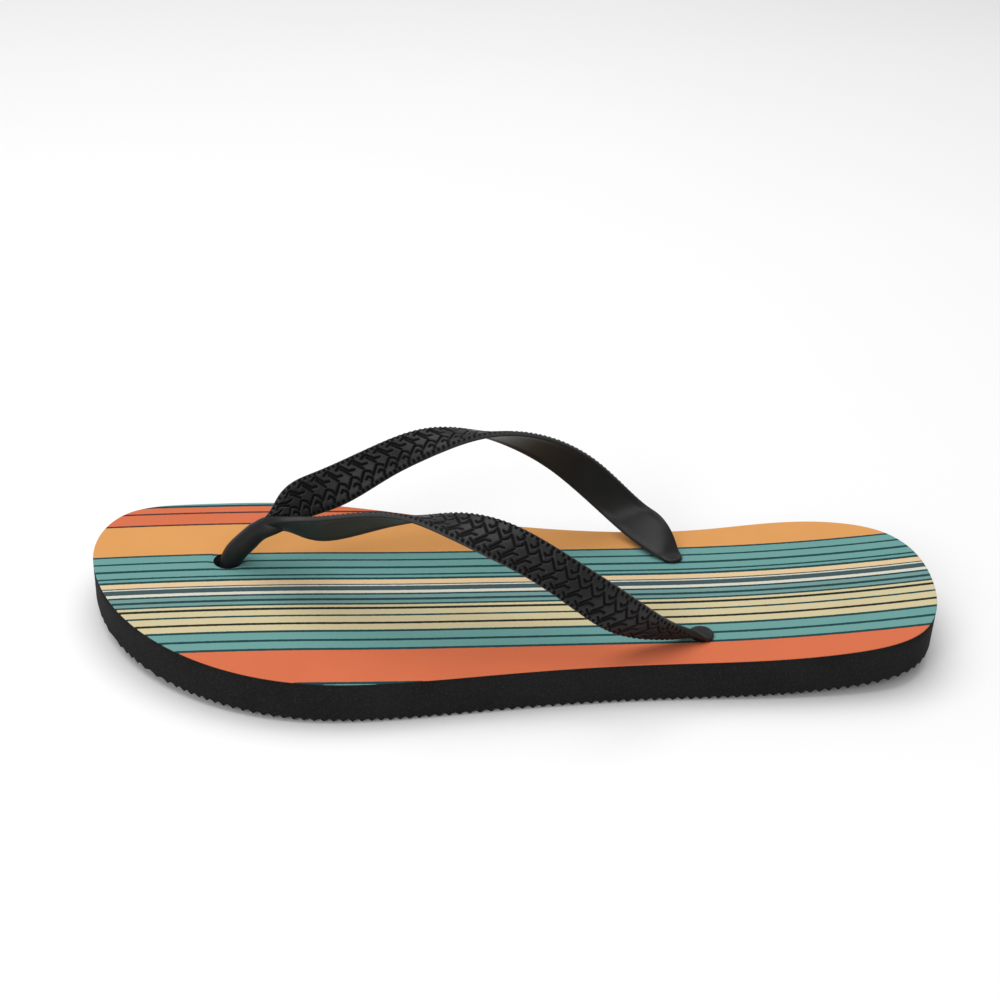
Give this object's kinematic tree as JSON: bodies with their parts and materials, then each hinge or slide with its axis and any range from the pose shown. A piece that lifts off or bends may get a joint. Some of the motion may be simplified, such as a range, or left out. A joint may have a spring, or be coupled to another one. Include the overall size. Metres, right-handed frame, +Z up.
{
  "type": "flip flop",
  "caption": "Left flip flop: flat foam rubber sole with a striped woven lining and a moulded thong strap held by plugs under the sole.",
  "frame": {"origin": "centre of the bounding box at ground level, where the flat middle of the sole stands", "axes": "-X towards the toe, +X towards the heel, +Y towards the inner side of the foot, +Z up"},
  "size_m": [0.27, 0.1027, 0.0549],
  "materials": {
    "sole_foam": "matte",
    "lining_print": "matte",
    "strap_pvc": "satin"
  },
  "bodies": {
    "rearfoot": {"sole_rear": "sole_foam", "lining_rear": "lining_print", "strap": "strap_pvc"},
    "forefoot": {"sole_front": "sole_foam", "lining_front": "lining_print"}
  },
  "joints": [
    {"name": "sole_flex", "type": "hinge", "parent": "rearfoot", "child": "forefoot", "pos_m": [-0.045, 0, 0.0143], "axis": [0, 1, 0], "range_deg": [0, 40], "stiffness_Nm_per_rad": 1, "deforming": ["strap"]}
  ]
}
